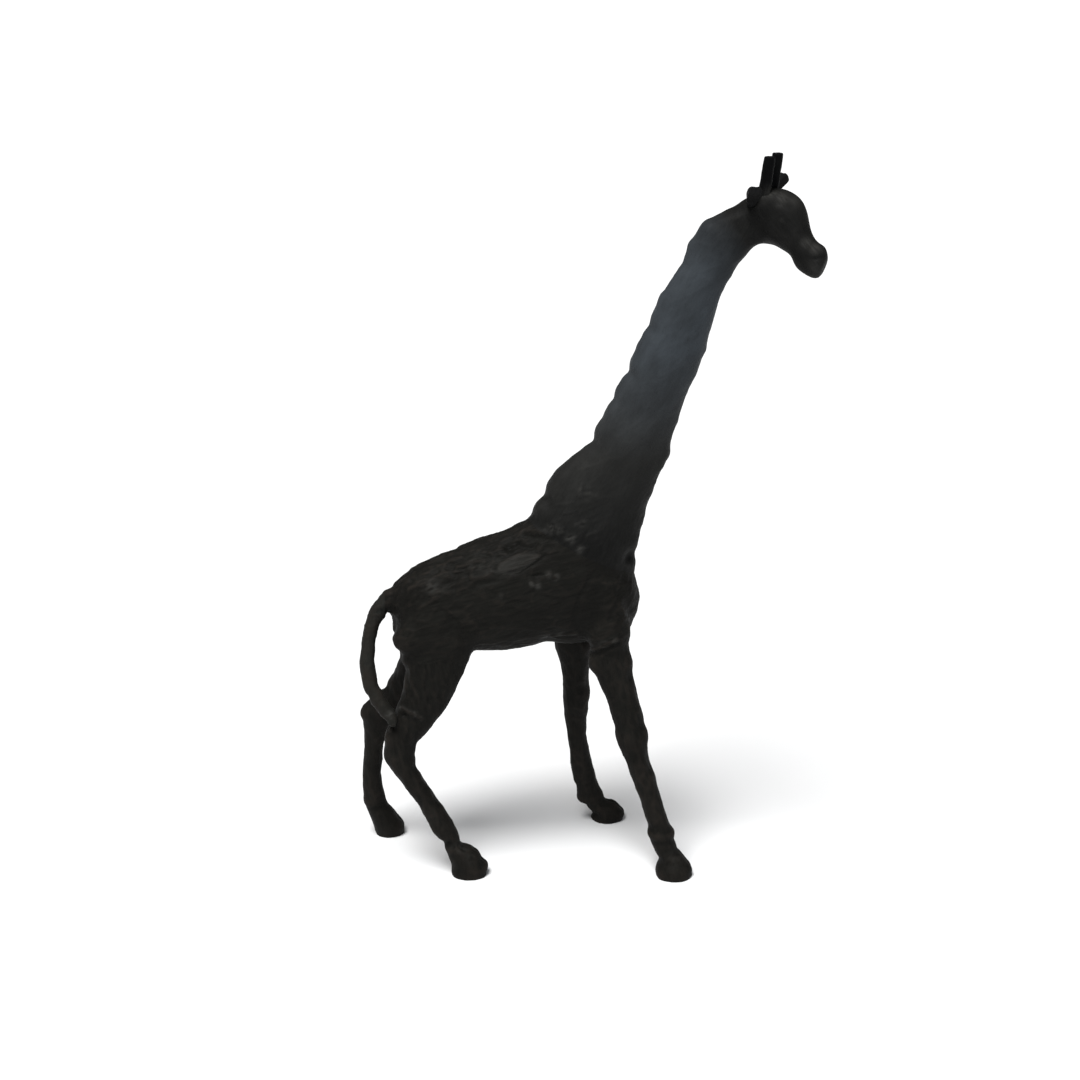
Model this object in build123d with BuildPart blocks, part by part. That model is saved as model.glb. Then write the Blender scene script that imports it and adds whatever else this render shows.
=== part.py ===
from build123d import *
import math
import os

# Carved hardwood giraffe, standing, about 0.91 m tall.
# +X is the way it faces, +Y is its left side, +Z is up. The origin is on the floor,
# under the middle of the whole figure. All sizes are in millimetres.

os.makedirs("parts", exist_ok=True)

# ---- Driving dimensions ----------------------------------------------------------

FORE_JOINT_Z = 294.0        # level where the forelegs meet the shoulders
HIND_JOINT_Z = 290.0        # level where the hind legs meet the haunches
FORE_JOINT_Y = 36.0         # leg centre line to middle plane, at the joint
HIND_JOINT_Y = 30.0
FORE_SOLE_Y = 82.0          # leg centre line to middle plane, at the floor
HIND_SOLE_Y = 61.5

HEAD_YAW = -30.0            # the head is turned to the animal's right

HORN_TOP_Z = 910.0          # overall height
HORN_BASE_Z = 862.0
HORN_BASE_REACH = 21.0      # neck to horn, along the head, at the horn's foot and top
HORN_TOP_REACH = 27.0
HORN_SPREAD = 13.5          # horn centre line to the middle of the head
EAR_ROOT = (5, 13, 853)     # along the head, across it, and height
EAR_TIP_RIGHT = (28, 60, 877)
EAR_TIP_LEFT = (19, 60, 873)
PEG_RADIUS = 3.5            # round tenon on each ear and horn
PEG_LENGTH = 9.0
TAIL_PEG_LENGTH = 18.0

NECK_DOWEL = (8.0, 84.0)    # radius and length
HEAD_DOWEL = (6.0, 44.0)
FORELEG_DOWEL = (6.0, 60.0)
HINDLEG_DOWEL = (8.0, 70.0)
NECK_DOWEL_SPACING = 74.0
DOWEL_CLEARANCE = 0.1       # glue gap round a dowel
HOLE_END_GAP = 2.0          # spare depth of the two holes of a dowel, taken together

# ---- Stations --------------------------------------------------------------------
# Each station is one oval across a member: (x, z, half depth, half width, lean).
# Lean is the angle at which the member climbs there, in degrees: 0 runs forward,
# 90 straight up and -90 straight down.

TRUNK = [
    (-238, 336, 20, 14, 6),
    (-223, 338, 43, 32, 10),
    (-189, 346, 55, 46, 20),
    (-144, 348, 72, 52, 31),
    (-98, 360, 82, 54, 37),
    (-54, 366, 93, 56, 41),
    (-17, 375, 102, 55, 47),
    (-1, 399, 91, 51, 54),
    (1, 424, 75, 46, 62),
]
NECK = [
    TRUNK[-1],
    (7, 449, 71, 44, 61),
    (15, 474, 65.5, 41, 61),
    (29, 502, 58, 38, 63),
    (51, 536, 48, 35, 65),
    (66, 572, 45, 34, 66),
    (79, 606, 42, 32, 66),
    (93, 640, 40, 31, 65),
    (106, 672, 39, 30, 65),
    (118, 703, 36.5, 28, 65),
    (128, 729, 34, 27, 65),
    (138, 754, 30, 25, 65),
    (151, 780, 29.5, 24, 63),
    (166, 805, 31, 24, 55),
    (184, 818, 28, 23, 46),
    (199, 826, 28, 22, 34),
]
# For the head, the first number is the distance from the neck along the turned head.
HEAD = [
    (14, 832, 31, 23, 14),
    (30, 837, 34, 25, -6),
    (46, 833, 32, 25, -16),
    (59, 820, 25, 22, -24),
    (65, 808, 19, 17, -32),
    (73, 796, 19, 15, -37),
    (82, 790, 20, 15.5, -28),
    (90, 785, 17.5, 13, -20),
    (94.5, 783, 10, 8, -18),
]
FORELEG_RIGHT = [
    (35, FORE_JOINT_Z, 24, 21, -90),
    (39.5, 266, 22.5, 20, -77),
    (50, 228, 19, 18, -74),
    (62, 182, 20.5, 18.5, -77),
    (66, 160, 15.5, 16, -74),
    (81, 112, 13.5, 13, -73),
    (89, 86, 12.8, 13, -75),
    (98, 52, 16, 14.5, -78),
    (103.5, 36, 15, 14, -90),
    (111, 24, 17, 17, -90),
    (114.5, 11, 23, 23, -90),
    (115.5, 0, 23, 23.5, -90),
]
FORELEG_LEFT = [
    (-9, FORE_JOINT_Z, 23.5, 21, -90),
    (-6, 270, 23, 20, -83),
    (-4, 250, 19.5, 19, -84),
    (-2, 216, 17, 17, -85),
    (-1, 184, 16.5, 17, -90),
    (-1, 158, 13.8, 14, -88),
    (2, 127, 12.5, 13, -83),
    (8, 86, 14.5, 13, -75),
    (16.5, 52, 15.5, 14, -76),
    (25, 34, 18, 15, -90),
    (37.5, 22, 21, 18, -90),
    (44.5, 10, 23.5, 21, -90),
    (44, 0, 23, 20.5, -90),
]
HINDLEG_RIGHT = [
    (-183, HIND_JOINT_Z, 44, 25, -90),
    (-189, 264, 34.5, 24, -99),
    (-198, 238, 30, 23, -108),
    (-214, 211, 25, 21, -118),
    (-230, 184, 20.5, 18, -108),
    (-233.5, 162, 19.5, 16, -80),
    (-224.5, 140, 14, 14, -60),
    (-212.5, 121, 12.8, 13.5, -58),
    (-200.5, 102, 12.2, 13, -58),
    (-190, 83, 13.5, 13, -62),
    (-180, 64, 14, 14, -66),
    (-168.5, 45, 12.5, 14, -80),
    (-154.5, 29, 21, 17.5, -90),
    (-147, 15, 24, 20.5, -90),
    (-146.5, 0, 23.5, 20.5, -90),
]
HINDLEG_LEFT = [
    (-192, HIND_JOINT_Z, 40, 25, -90),
    (-197, 272, 34, 24, -104),
    (-206, 250, 27, 22, -116),
    (-219, 228, 23, 20, -122),
    (-240, 203, 23, 19, -122),
    (-258.5, 184, 22.5, 17, -106),
    (-263, 160, 15.5, 15, -92),
    (-266, 138, 13, 14, -91),
    (-268, 115, 12, 13, -91),
    (-269.5, 92, 12, 13, -90),
    (-269, 70, 13.5, 13, -86),
    (-266, 50, 14.3, 14, -82),
    (-258.5, 32, 17.5, 17, -90),
    (-249.5, 13, 20.5, 20, -90),
    (-247.5, 0, 20, 19, -90),
]

# The muscle above each leg, from the leg joint up into the trunk. Each row is
# (x, z, half depth, half width, lean, distance from the middle plane).
SHOULDER_RIGHT = [
    (35, FORE_JOINT_Z, 24, 21, 90, 36),
    (29, 330, 28, 24, 100, 34),
    (15, 375, 30, 19, 108, 30),
    (6, 402, 18, 10, 108, 26),
]
SHOULDER_LEFT = [
    (-9, FORE_JOINT_Z, 23.5, 21, 90, 36),
    (-6, 330, 30, 24, 88, 34),
    (-2, 375, 30, 19, 86, 30),
    (0, 402, 18, 10, 86, 26),
]
HAUNCH_RIGHT = [
    (-183, HIND_JOINT_Z, 44, 25, 90, 30),
    (-184, 318, 50, 26, 88, 30),
    (-180, 350, 36, 23, 84, 27),
    (-177, 374, 20, 12, 84, 23),
]
HAUNCH_LEFT = [
    (-192, HIND_JOINT_Z, 40, 25, 90, 30),
    (-188, 318, 44, 26, 86, 30),
    (-182, 350, 36, 23, 82, 27),
    (-178, 374, 20, 12, 82, 23),
]

# Tail, from inside the rump to its tip on the right hock: (x, y, z, radius).
TAIL = [
    (-229, 0, 362, 11),
    (-243, -2, 358, 11),
    (-256, -5, 345, 9.5),
    (-264, -10, 326, 8),
    (-268.5, -16, 304, 7.5),
    (-271.5, -24, 281, 8.5),
    (-268.5, -33, 258, 8),
    (-259, -42, 238, 7.5),
    (-248, -49, 224, 7),
    (-237, -56, 212, 5.5),
    (-229, -61, 199, 3.5),
]


def leaning_plane(x, y, z, lean, yaw=0):
    """Plane across a member at (x, y, z) that climbs at lean degrees, turned by yaw."""
    run = Vector(1, 0, 0).rotate(Axis.Y, -lean).rotate(Axis.Z, yaw)
    side = Vector(0, 1, 0).rotate(Axis.Z, yaw)
    return Plane(origin=(x, y, z), x_dir=side, z_dir=run)


def oval(plane, half_width, half_depth):
    """One oval section, wide along the plane's X and deep along its Y."""
    with BuildSketch(plane) as section:
        Ellipse(half_width, half_depth)
    return section.sketch.face()


def with_midpoints(stations):
    """The stations with one more halfway between each two, so that a loft doesn't bulge."""
    dense = [stations[0]]
    for before, after in zip(stations, stations[1:]):
        dense.append(tuple((a + b) / 2 for a, b in zip(before, after)))
        dense.append(after)
    return dense


def ovals(stations):
    """Sections of a member that lies in the middle plane."""
    return [
        oval(leaning_plane(x, 0, z, lean), half_width, half_depth)
        for x, z, half_depth, half_width, lean in with_midpoints(stations)
    ]


def leg_y(z, joint_z, joint_y, sole_y):
    """Distance of a splayed leg's centre line from the middle plane at height z."""
    return joint_y + (sole_y - joint_y) * (joint_z - z) / joint_z


def leg_sections(stations, side, joint_y, sole_y):
    """Sections of a splayed leg. Side is 1 for the left and -1 for the right."""
    joint_z = stations[0][1]
    return [
        oval(
            leaning_plane(x, side * leg_y(z, joint_z, joint_y, sole_y), z, lean),
            half_width,
            half_depth,
        )
        for x, z, half_depth, half_width, lean in with_midpoints(stations)
    ]


def muscle_sections(rows, side):
    """Sections of the muscle above a leg."""
    return [
        oval(leaning_plane(x, side * y, z, lean), half_width, half_depth)
        for x, z, half_depth, half_width, lean, y in with_midpoints(rows)
    ]


def round_sections(points):
    """Round sections square to a line of (x, y, z, radius) points."""
    points = with_midpoints(points)
    sections = []
    for index, (x, y, z, radius) in enumerate(points):
        before = points[max(index - 1, 0)]
        after = points[min(index + 1, len(points) - 1)]
        run = Vector(*after[:3]) - Vector(*before[:3])
        plane = Plane(origin=(x, y, z), x_dir=(0, 1, 0), z_dir=run.normalized())
        with BuildSketch(plane) as section:
            Circle(radius)
        sections.append(section.sketch.face())
    return sections


def on_head(distance, across, z):
    """Point given by its distance along the turned head, across it to the left, and height."""
    yaw = math.radians(HEAD_YAW)
    x = NECK[-1][0] + distance * math.cos(yaw) - across * math.sin(yaw)
    y = distance * math.sin(yaw) + across * math.cos(yaw)
    return x, y, z


# ---- Joints ----------------------------------------------------------------------

NECK_JOINT = leaning_plane(TRUNK[-1][0], 0, TRUNK[-1][1], TRUNK[-1][4])
HEAD_JOINT = leaning_plane(NECK[-1][0], 0, NECK[-1][1], NECK[-1][4])
NECK_DOWEL_JOINTS = [
    Plane(
        origin=NECK_JOINT.origin + NECK_JOINT.y_dir * (share * NECK_DOWEL_SPACING),
        x_dir=NECK_JOINT.x_dir,
        z_dir=NECK_JOINT.z_dir,
    )
    for share in (-0.5, 0.5)
]
FORE_JOINTS = [
    Plane(origin=(FORELEG_RIGHT[0][0], -FORE_JOINT_Y, FORE_JOINT_Z)),
    Plane(origin=(FORELEG_LEFT[0][0], FORE_JOINT_Y, FORE_JOINT_Z)),
]
HIND_JOINTS = [
    Plane(origin=(HINDLEG_RIGHT[0][0], -HIND_JOINT_Y, HIND_JOINT_Z)),
    Plane(origin=(HINDLEG_LEFT[0][0], HIND_JOINT_Y, HIND_JOINT_Z)),
]


def drill(joint, dowel):
    """Blind hole for a dowel, running the same depth to both sides of a joint plane."""
    radius, length = dowel
    with Locations(joint):
        Cylinder(radius + DOWEL_CLEARANCE, length + HOLE_END_GAP, mode=Mode.SUBTRACT)


# ---- Tail, whose tip lies on the right hock ----------------------------------------

with BuildPart() as hindleg_right:
    loft(leg_sections(HINDLEG_RIGHT, -1, HIND_JOINT_Y, HIND_SOLE_Y))
    drill(HIND_JOINTS[0], HINDLEG_DOWEL)

with BuildPart() as tail:
    tail_sections = round_sections(TAIL)
    loft(tail_sections)
    extrude(tail_sections[0], amount=-TAIL_PEG_LENGTH)
    add(hindleg_right.part, mode=Mode.SUBTRACT)

# ---- Other legs --------------------------------------------------------------------

with BuildPart() as hindleg_left:
    loft(leg_sections(HINDLEG_LEFT, 1, HIND_JOINT_Y, HIND_SOLE_Y))
    drill(HIND_JOINTS[1], HINDLEG_DOWEL)

with BuildPart() as foreleg_right:
    loft(leg_sections(FORELEG_RIGHT, -1, FORE_JOINT_Y, FORE_SOLE_Y))
    drill(FORE_JOINTS[0], FORELEG_DOWEL)

with BuildPart() as foreleg_left:
    loft(leg_sections(FORELEG_LEFT, 1, FORE_JOINT_Y, FORE_SOLE_Y))
    drill(FORE_JOINTS[1], FORELEG_DOWEL)

# ---- Torso and neck ----------------------------------------------------------------

with BuildPart() as torso:
    loft(ovals(TRUNK))
    for rows, side in (
        (SHOULDER_RIGHT, -1),
        (SHOULDER_LEFT, 1),
        (HAUNCH_RIGHT, -1),
        (HAUNCH_LEFT, 1),
    ):
        loft(muscle_sections(rows, side))
    add(tail.part, mode=Mode.SUBTRACT)
    for joint in NECK_DOWEL_JOINTS:
        drill(joint, NECK_DOWEL)
    for joint in FORE_JOINTS:
        drill(joint, FORELEG_DOWEL)
    for joint in HIND_JOINTS:
        drill(joint, HINDLEG_DOWEL)

with BuildPart() as neck:
    loft(ovals(NECK))
    for joint in NECK_DOWEL_JOINTS:
        drill(joint, NECK_DOWEL)
    drill(HEAD_JOINT, HEAD_DOWEL)

# ---- Horns and ears ----------------------------------------------------------------


def make_horn(side):
    """Blunt horn with a round peg below it."""
    foot = on_head(HORN_BASE_REACH, side * HORN_SPREAD, HORN_BASE_Z)
    top = on_head(HORN_TOP_REACH, side * HORN_SPREAD, HORN_TOP_Z)
    foot_plane = Plane(origin=foot)
    top_plane = Plane(origin=top)
    with BuildPart() as horn:
        loft([oval(foot_plane, 7.5, 8), oval(top_plane, 6.5, 6.5)])
        with Locations(foot_plane):
            Cylinder(
                PEG_RADIUS,
                PEG_LENGTH,
                align=(Align.CENTER, Align.CENTER, Align.MAX),
            )
    return horn.part


def make_ear(side, tip):
    """Thick blunt ear that points out and a little up, with a round peg."""
    root = Vector(*on_head(EAR_ROOT[0], side * EAR_ROOT[1], EAR_ROOT[2]))
    tip = Vector(*on_head(tip[0], side * tip[1], tip[2]))
    run = (tip - root).normalized()
    with BuildPart() as ear:
        slab = []
        for share, half_width, half_height in (
            (0.0, 5.0, 5.5),
            (0.3, 6.8, 7.0),
            (0.7, 8.5, 7.5),
            (1.0, 7.5, 6.0),
        ):
            plane = Plane(origin=root + (tip - root) * share, x_dir=(0.87, -0.5, 0), z_dir=run)
            slab.append(oval(plane, half_width, half_height))
        loft(slab)
        with Locations(Plane(origin=root, z_dir=run)):
            Cylinder(
                PEG_RADIUS,
                PEG_LENGTH,
                align=(Align.CENTER, Align.CENTER, Align.MAX),
            )
    return ear.part


horn_right = make_horn(-1)
horn_left = make_horn(1)
ear_right = make_ear(-1, EAR_TIP_RIGHT)
ear_left = make_ear(1, EAR_TIP_LEFT)

# ---- Head --------------------------------------------------------------------------

with BuildPart() as head:
    head_ovals = [oval(HEAD_JOINT, NECK[-1][3], NECK[-1][2])]
    for distance, z, half_depth, half_width, lean in HEAD:
        x, y, z = on_head(distance, 0, z)
        turn = HEAD_YAW * min(1, distance / HEAD[1][0])
        head_ovals.append(oval(leaning_plane(x, y, z, lean, turn), half_width, half_depth))
    loft(head_ovals)
    for piece in (horn_right, horn_left, ear_right, ear_left):
        add(piece, mode=Mode.SUBTRACT)
    drill(HEAD_JOINT, HEAD_DOWEL)

# ---- Dowels ------------------------------------------------------------------------

with BuildPart() as neck_dowels:
    with Locations(*NECK_DOWEL_JOINTS):
        Cylinder(*NECK_DOWEL)

with BuildPart() as head_dowel:
    with Locations(HEAD_JOINT):
        Cylinder(*HEAD_DOWEL)

with BuildPart() as foreleg_dowels:
    with Locations(*FORE_JOINTS):
        Cylinder(*FORELEG_DOWEL)

with BuildPart() as hindleg_dowels:
    with Locations(*HIND_JOINTS):
        Cylinder(*HINDLEG_DOWEL)

# ---- Files -------------------------------------------------------------------------

pieces = {
    "torso": torso.part,
    "neck": neck.part,
    "head": head.part,
    "horn_right": horn_right,
    "horn_left": horn_left,
    "ear_right": ear_right,
    "ear_left": ear_left,
    "tail": tail.part,
    "foreleg_right": foreleg_right.part,
    "foreleg_left": foreleg_left.part,
    "hindleg_right": hindleg_right.part,
    "hindleg_left": hindleg_left.part,
    "neck_dowels": neck_dowels.part,
    "head_dowel": head_dowel.part,
    "foreleg_dowels": foreleg_dowels.part,
    "hindleg_dowels": hindleg_dowels.part,
}
for name, piece in pieces.items():
    piece.label = name
    export_step(piece, f"parts/{name}.step")
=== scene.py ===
import math

import bmesh
import bpy
import numpy as np
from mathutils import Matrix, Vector, noise


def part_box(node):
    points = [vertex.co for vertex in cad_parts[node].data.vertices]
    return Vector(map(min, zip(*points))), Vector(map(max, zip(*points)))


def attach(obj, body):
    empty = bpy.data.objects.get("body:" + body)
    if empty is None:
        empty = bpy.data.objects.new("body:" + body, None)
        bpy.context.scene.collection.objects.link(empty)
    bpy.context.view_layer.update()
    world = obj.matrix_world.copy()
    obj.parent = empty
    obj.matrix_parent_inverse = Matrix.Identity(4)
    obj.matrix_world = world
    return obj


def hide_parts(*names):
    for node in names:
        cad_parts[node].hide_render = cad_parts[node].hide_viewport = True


# A carved giraffe in near-black stained wood. The CAD nodes of the carving are joined into
# one skin, so that the surface runs on across every glued joint. The skin is eased and
# worked like a carving, then cut apart again at the joints into one piece for each node.
# Places are in millimetres in the frame of the part: +X forward, +Y left, +Z up.

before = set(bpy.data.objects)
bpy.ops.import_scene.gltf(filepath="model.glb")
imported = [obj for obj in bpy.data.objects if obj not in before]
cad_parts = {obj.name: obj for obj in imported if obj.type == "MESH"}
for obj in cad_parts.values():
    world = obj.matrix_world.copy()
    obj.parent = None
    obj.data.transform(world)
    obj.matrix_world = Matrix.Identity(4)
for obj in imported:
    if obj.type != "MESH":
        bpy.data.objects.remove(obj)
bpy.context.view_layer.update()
MM = 0.001

# ---- Camera and stage --------------------------------------------------------------

VIEW_TARGET = Vector((-52, 0, 431)) * MM
VIEW_AZIMUTH = math.radians(-4)
VIEW_ELEVATION = math.radians(20)
VIEW_DISTANCE = 2730 * MM
LENS_MM = 73.02
SENSOR_MM = 36
VIEW_REACH = 80

# The stage is in metres.
FLOOR_REACH = 60
FLOOR_PALE = 0.8
SKY_STRENGTH = 0.22
SUN_POWER = 4.2
SUN_WIDTH = math.radians(30)
SUN_PLACE = (-1.0, -1.2, 4)
SUN_AIM = (0, 0, 0.4)
WINDOW_PLACE = (0.5, -1.7, 1.0)
WINDOW_AIM = (0.1, 0, 0.68)
WINDOW_SIZE = (0.9, 0.9)
WINDOW_POWER = 3.0
WINDOW_COLOUR = (0.66, 0.82, 1)


def make_camera():
    """Camera beside the figure, a little above it, looking down at its flank."""
    back = Vector((
        math.sin(VIEW_AZIMUTH) * math.cos(VIEW_ELEVATION),
        -math.cos(VIEW_AZIMUTH) * math.cos(VIEW_ELEVATION),
        math.sin(VIEW_ELEVATION),
    ))
    camera = bpy.data.objects.new("camera", bpy.data.cameras.new("camera"))
    camera.data.lens = LENS_MM
    camera.data.sensor_width = SENSOR_MM
    camera.data.clip_end = VIEW_REACH
    camera.location = VIEW_TARGET + back * VIEW_DISTANCE
    camera.rotation_euler = (-back).to_track_quat("-Z", "Y").to_euler()
    bpy.context.collection.objects.link(camera)
    bpy.context.scene.camera = camera


def aim_light(light, place, aim):
    """Put a light at place, pointing at aim."""
    light.location = place
    light.rotation_euler = (Vector(aim) - Vector(place)).to_track_quat("-Z", "Y").to_euler()
    bpy.context.collection.objects.link(light)


def make_stage():
    """Pale floor, pale surroundings and soft lights."""
    floor_mesh = bpy.data.meshes.new("floor")
    signs = ((-1, -1), (1, -1), (1, 1), (-1, 1))
    corners = [(FLOOR_REACH * x, FLOOR_REACH * y, 0) for x, y in signs]
    floor_mesh.from_pydata(corners, [], [(0, 1, 2, 3)])
    floor = bpy.data.objects.new("floor", floor_mesh)
    bpy.context.collection.objects.link(floor)
    paint = bpy.data.materials.new("floor_paint")
    paint.use_nodes = True
    shader = paint.node_tree.nodes["Principled BSDF"]
    shader.inputs["Base Color"].default_value = (FLOOR_PALE, FLOOR_PALE, FLOOR_PALE, 1)
    shader.inputs["Roughness"].default_value = 1
    shader.inputs["Specular IOR Level"].default_value = 0
    floor_mesh.materials.append(paint)

    world = bpy.data.worlds.new("studio")
    world.use_nodes = True
    sky = world.node_tree.nodes["Background"]
    sky.inputs["Color"].default_value = (1, 1, 1, 1)
    sky.inputs["Strength"].default_value = SKY_STRENGTH
    bpy.context.scene.world = world

    sun = bpy.data.lights.new("overhead", "SUN")
    sun.energy = SUN_POWER
    sun.angle = SUN_WIDTH
    aim_light(bpy.data.objects.new("overhead", sun), SUN_PLACE, SUN_AIM)
    window = bpy.data.lights.new("window", "AREA")
    window.shape = "RECTANGLE"
    window.size, window.size_y = WINDOW_SIZE
    window.energy = WINDOW_POWER
    window.color = WINDOW_COLOUR
    aim_light(bpy.data.objects.new("window", window), WINDOW_PLACE, WINDOW_AIM)
    bpy.context.scene.view_settings.view_transform = "Standard"


# ---- Arrays and meshes -------------------------------------------------------------


def get_points(mesh):
    """Vertex places in millimetres."""
    flat = np.empty(len(mesh.vertices) * 3, np.float32)
    mesh.vertices.foreach_get("co", flat)
    return flat.reshape(-1, 3).astype(float) / MM


def set_points(mesh, points):
    """Put the vertices at places given in millimetres."""
    mesh.vertices.foreach_set("co", (points * MM).astype(np.float32).ravel())
    mesh.update()


def get_normals(mesh):
    """Vertex normals."""
    flat = np.empty(len(mesh.vertices) * 3, np.float32)
    mesh.vertex_normals.foreach_get("vector", flat)
    return flat.reshape(-1, 3).astype(float)


def get_edges(mesh):
    """The two vertex numbers of every edge, and how many neighbours each vertex has."""
    flat = np.empty(len(mesh.edges) * 2, np.int32)
    mesh.edges.foreach_get("vertices", flat)
    counts = np.maximum(np.bincount(flat, minlength=len(mesh.vertices)), 1)
    return flat.reshape(-1, 2), counts


def neighbour_mean(values, ends, counts):
    """For each vertex, the mean of its neighbours' values."""
    values = values.reshape(len(counts), -1)
    total = np.empty_like(values)
    for column in range(values.shape[1]):
        one, two = values[ends[:, 1], column], values[ends[:, 0], column]
        total[:, column] = np.bincount(ends[:, 0], one, len(counts))
        total[:, column] += np.bincount(ends[:, 1], two, len(counts))
    return total / counts[:, None]


RELAX_SHARE = 0.5


def relax(mesh, weight, rounds, back=0.0):
    """Ease creases: each round moves the vertices to their neighbours' mean, and some back."""
    points = get_points(mesh)
    ends, counts = get_edges(mesh)
    weight = np.broadcast_to(weight, len(points))
    for _ in range(rounds):
        for share in (RELAX_SHARE, -back):
            if share:
                step = neighbour_mean(points, ends, counts) - points
                points = points + step * (share * weight)[:, None]
    set_points(mesh, points)


def smooth_step(value, low, high):
    """0 at low, 1 at high, and smooth between."""
    t = np.clip((value - low) / (high - low), 0, 1)
    return t * t * (3 - 2 * t)


def bake(piece):
    """Replace the object's mesh by the result of its modifiers."""
    graph = bpy.context.evaluated_depsgraph_get()
    mesh = bpy.data.meshes.new_from_object(piece.evaluated_get(graph))
    piece.modifiers.clear()
    piece.data = mesh


def voxel_remesh(piece, voxel):
    """Make the object's mesh even, with faces of about one voxel (mm)."""
    skin = piece.modifiers.new("skin", "REMESH")
    skin.mode = "VOXEL"
    skin.voxel_size = voxel * MM
    bake(piece)


def new_object(name, mesh):
    """A new object in the scene."""
    piece = bpy.data.objects.new(name, mesh)
    bpy.context.collection.objects.link(piece)
    return piece


WELD_DISTANCE = 0.005 * MM


def swollen_copy(mesh, growth):
    """A closed copy of a mesh, grown all round by the given millimetres."""
    shape = bmesh.new()
    shape.from_mesh(mesh)
    bmesh.ops.remove_doubles(shape, verts=shape.verts, dist=WELD_DISTANCE)
    shape.normal_update()
    for vertex in shape.verts:
        vertex.co += vertex.normal * (growth * MM)
    grown = bpy.data.meshes.new("tool")
    shape.to_mesh(grown)
    shape.free()
    return new_object("tool", grown)


def sink(mesh, growth, pieces_around):
    """Cut a socket for the mesh, grown a little, into the pieces around it."""
    tool = swollen_copy(mesh, growth)
    for piece in pieces_around:
        cut = piece.modifiers.new("socket", "BOOLEAN")
        cut.operation = "DIFFERENCE"
        cut.solver = "MANIFOLD"
        cut.object = tool
        bake(piece)
    bpy.data.objects.remove(tool)


SEED_STEP = 7.31
TINY = 1e-6


def stretched(points, size, seed, along, stretch):
    """Places divided by a size in mm, and shortened along one direction."""
    axis = np.array(along, float) / np.linalg.norm(along)
    run = points @ axis
    squeezed = points - np.outer(run * (1 - 1 / stretch), axis)
    return (squeezed / size + seed * SEED_STEP).tolist()


def lumps(points, size, seed, along=(1, 0, 0), stretch=1.0):
    """Smooth noise from -1 to 1, with features of the given size in mm."""
    return np.array([noise.noise(p) for p in stretched(points, size, seed, along, stretch)])


def gouges(points, size, seed, along, stretch):
    """Shallow dishes side by side, as a gouge leaves: 0 in a dish, 1 on the ridges."""
    places = stretched(points, size, seed, along, stretch)
    near = np.array([noise.voronoi(p)[0][:2] for p in places])
    return np.clip(near[:, 0] / np.maximum(near[:, 1], TINY), 0, 1) ** 2


# ---- Joints ------------------------------------------------------------------------
# A joint is (centre, direction out of the torso, reach of the cut around the centre).

NECK_JOINT = ((1, 0, 424), (0.469, 0, 0.883), 96)
HEAD_JOINT = ((199, 0, 826), (0.829, 0, 0.559), 42)
TAIL_JOINT = ((-247, -3, 354), (-1, 0, 0), 26)
LEG_JOINTS = {
    "foreleg_right": ((35, -36, 294), (0, 0, -1), 44),
    "foreleg_left": ((-9, 36, 294), (0, 0, -1), 44),
    "hindleg_right": ((-183, -30, 290), (0, 0, -1), 72),
    "hindleg_left": ((-192, 30, 290), (0, 0, -1), 64),
}
JOINTS = dict(LEG_JOINTS, neck=NECK_JOINT, head=HEAD_JOINT, tail=TAIL_JOINT)
BODY_NODES = ("torso", "neck", "head", "tail", *LEG_JOINTS)
DOWELS = {
    "neck_dowels": ("torso", "neck"),
    "head_dowel": ("neck", "head"),
    "foreleg_dowels": ("torso", "foreleg_right", "foreleg_left"),
    "hindleg_dowels": ("torso", "hindleg_right", "hindleg_left"),
}

# Sockets of horns and ears, filled while the skin is made: (mouth, inward, radius, depth).
PLUGS = [
    ((210.5, -22, 860), (-0.1, 0, -1), 8.5, 16),
    ((224, 1, 860), (-0.1, 0, -1), 8.5, 16),
    ((196.8, -13.8, 853), (0.06, 0.91, -0.42), 4.6, 14),
    ((209.8, 8.8, 853), (-0.31, -0.86, -0.40), 4.6, 14),
]
PLUG_SIDES = 24


def beyond(points, joint):
    """How far each place is past a joint's plane, in mm."""
    centre, normal, _ = joint
    unit = np.array(normal, float) / np.linalg.norm(normal)
    return (points - np.array(centre, float)) @ unit


# ---- Marks -------------------------------------------------------------------------
# A through bump is (x, z, radius, push) and works from side to side, so it shows on the
# outline. Push is in mm: out of the wood, or into it if negative.

THROUGH_BUMPS = [
    # nape and mane, top to bottom
    (172, 843, 9, 1.2), (159, 836, 7, 1.4), (148, 829, 9, 2.6), (128, 804, 9, 3.4),
    (118, 790, 8, -0.6), (120, 778, 7, -1.8), (109, 762, 9, -0.6), (92, 738, 9, 2.4),
    (89, 722, 7, 0.2), (81, 703, 8, -3.4), (72, 688, 8, -0.6), (64, 672, 8, -0.8),
    (54, 646, 8, -4.6), (47, 632, 8, -1.4), (38, 612, 8, -2.8), (25, 588, 9, -1.4),
    (12, 560, 9, -4.6), (2, 545, 9, -1.6), (-28, 520, 12, 1.8), (-46, 489, 9, -6.0),
    # back and belly
    (-80, 449, 10, 1.3), (-156, 420, 10, -1.5), (-44, 306, 11, -5.5), (-85, 306, 8, -1.6),
    (-110, 303, 8, -1.6),
    # throat and chest, top to bottom
    (190, 790, 10, 1.5), (178, 766, 9, 1.5), (170, 738, 12, 1.2), (160, 706, 9, 0.6),
    (144, 674, 9, 2.8), (140, 640, 13, 1.6), (128, 612, 8, -0.4), (118, 585, 12, 0.9),
    (101, 543, 10, 4.6), (96, 528, 8, 2.6), (84, 490, 10, 0.6), (72, 452, 12, 1.4),
    (60, 413, 9, -7.0), (66, 380, 10, 2.4), (64, 335, 8, 1.8),
]

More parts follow.
